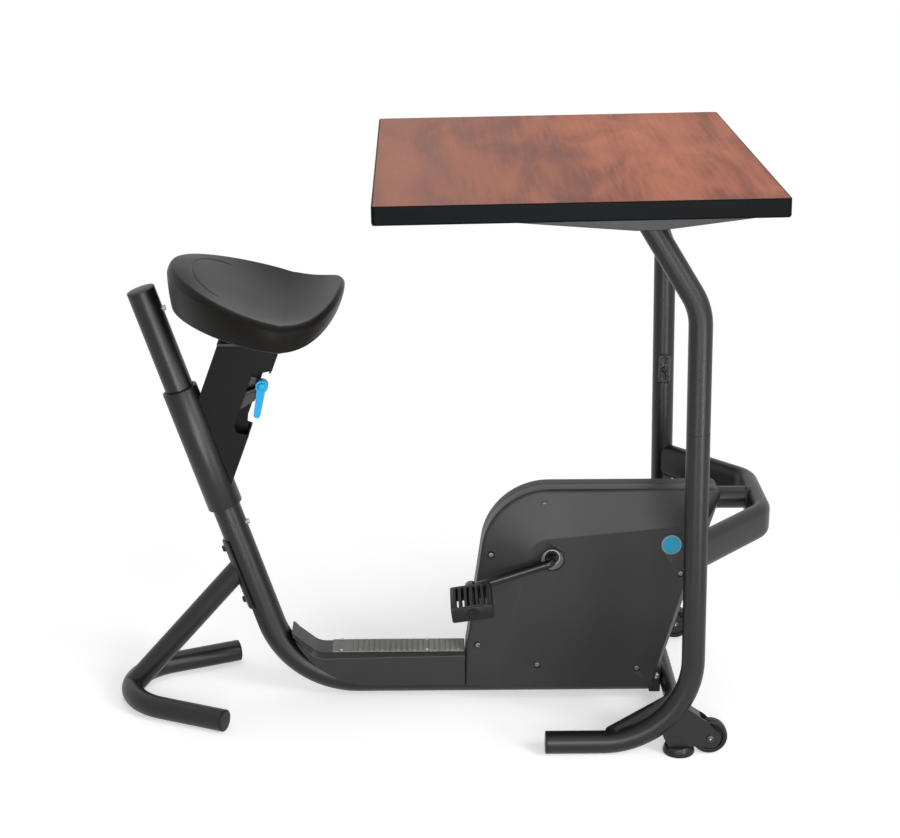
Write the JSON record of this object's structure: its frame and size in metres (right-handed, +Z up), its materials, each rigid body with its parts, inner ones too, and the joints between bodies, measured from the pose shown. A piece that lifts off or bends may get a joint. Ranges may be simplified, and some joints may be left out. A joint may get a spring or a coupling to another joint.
{
  "type": "desk exercise bike",
  "caption": "Free-standing exercise bike with a saddle that slides on a leaning spine, enclosed cranks with pedals, and a laminated desktop on two bent posts joined by hoops.",
  "frame": {"origin": "centre of the footprint's bounding box on the floor", "axes": "+X the way the rider faces, +Y to the rider's left, +Z up"},
  "size_m": [1.116, 0.762, 0.9659],
  "materials": {
    "satin_black": "satin black powder coat",
    "moulded_black": "fine moulded texture",
    "vinyl": "soft moulded foam skin",
    "rubber": "matte",
    "tread_grey": "ribbed, matte",
    "steel": "bright zinc",
    "cast_iron": "turned",
    "lever_blue": "satin",
    "badge_teal": "plain, glossy",
    "cherry": "cherry laminate, satin",
    "edge_black": "black edge band",
    "nylon": "natural nylon"
  },
  "bodies": {
    "frame": {"main_frame_tube": "satin_black", "frame_top_cap": "moulded_black", "stop_bolt_lower": "steel", "stop_bolt_upper": "steel", "rear_strut": "satin_black", "rear_foot_tube": "satin_black", "rear_foot_cap_near": "moulded_black", "rear_foot_cap_far": "moulded_black", "footrest_cover": "moulded_black", "footrest_tread": "tread_grey", "housing_near": "moulded_black", "housing_far": "moulded_black", "badge_disc": "badge_teal", "drive_frame": "satin_black", "crank_bearing_near": "steel", "crank_bearing_far": "steel", "flywheel_bearing_near": "steel", "flywheel_bearing_far": "steel", "drive_belt": "rubber", "leg_lower_near": "satin_black", "leg_lower_far": "satin_black", "leg_upper_near": "satin_black", "leg_upper_far": "satin_black", "leg_coupler_near": "steel", "leg_coupler_far": "steel", "leg_foot_cap_near": "moulded_black", "leg_foot_cap_far": "moulded_black", "upper_hoop": "satin_black", "stub_tube": "satin_black", "lower_hoop": "satin_black", "front_bracket": "satin_black", "desk_rail_near": "satin_black", "desk_rail_far": "satin_black", "desktop": "cherry", "desk_edge_band": "edge_black", "wheel_bracket_near": "satin_black", "wheel_bracket_far": "satin_black", "wheel_axle_near": "steel", "wheel_axle_far": "steel", "rubber_foot_near": "rubber", "rubber_foot_far": "rubber"},
    "saddle_carriage": {"seat_sleeve": "satin_black", "sleeve_bushing_lower": "nylon", "sleeve_bushing_upper": "nylon", "seat_post": "satin_black", "seat_plate": "satin_black", "seat_cushion": "vinyl", "lever_bracket": "satin_black", "lever_pin": "steel"},
    "release_lever": {"release_lever": "lever_blue"},
    "lock_plunger": {"lock_plunger": "steel"},
    "crank": {"crank": "satin_black", "drive_pulley": "moulded_black", "pedal_spindle_near": "steel", "pedal_spindle_far": "steel"},
    "flywheel": {"flywheel": "cast_iron"},
    "pedal_near": {"pedal_near": "moulded_black"},
    "pedal_far": {"pedal_far": "moulded_black"},
    "wheel_near": {"wheel_near": "rubber"},
    "wheel_far": {"wheel_far": "rubber"}
  },
  "joints": [
    {"name": "saddle_slide", "type": "slide", "parent": "frame", "child": "saddle_carriage", "axis": [-0.3173, 0, 0.9483], "range_m": [-0.033, 0.1318]},
    {"name": "release_lever_pivot", "type": "hinge", "parent": "saddle_carriage", "child": "release_lever", "pos_m": [-0.296, 0, 0.57], "axis": [0, -1, 0], "range_deg": [0, 21]},
    {"name": "lock_plunger_slide", "type": "slide", "parent": "saddle_carriage", "child": "lock_plunger", "axis": [0.9483, 0, 0.3173], "range_m": [0, 0.00105], "stiffness_N_per_m": 300, "springref_m": -0.006},
    {"name": "crank_spin", "type": "hinge", "parent": "frame", "child": "crank", "pos_m": [0.194, 0, 0.27], "axis": [0, 1, 0], "continuous": true},
    {"name": "flywheel_spin", "type": "hinge", "parent": "frame", "child": "flywheel", "pos_m": [0.332, 0, 0.2], "axis": [0, 1, 0], "continuous": true},
    {"name": "pedal_near_spin", "type": "hinge", "parent": "crank", "child": "pedal_near", "pos_m": [0.05407, -0.079, 0.23198], "axis": [0, 1, 0], "continuous": true},
    {"name": "pedal_far_spin", "type": "hinge", "parent": "crank", "child": "pedal_far", "pos_m": [0.33393, 0.079, 0.30802], "axis": [0, 1, 0], "continuous": true},
    {"name": "wheel_near_spin", "type": "hinge", "parent": "frame", "child": "wheel_near", "pos_m": [0.446, -0.231, 0.0305], "axis": [0, 1, 0], "continuous": true},
    {"name": "wheel_far_spin", "type": "hinge", "parent": "frame", "child": "wheel_far", "pos_m": [0.446, 0.231, 0.0305], "axis": [0, 1, 0], "continuous": true}
  ],
  "couplings": [
    {"joint": "crank_spin", "follows": "flywheel_spin", "ratio": 0.18033},
    {"joint": "release_lever_pivot", "follows": "lock_plunger_slide", "rad_per_m": 325}
  ]
}
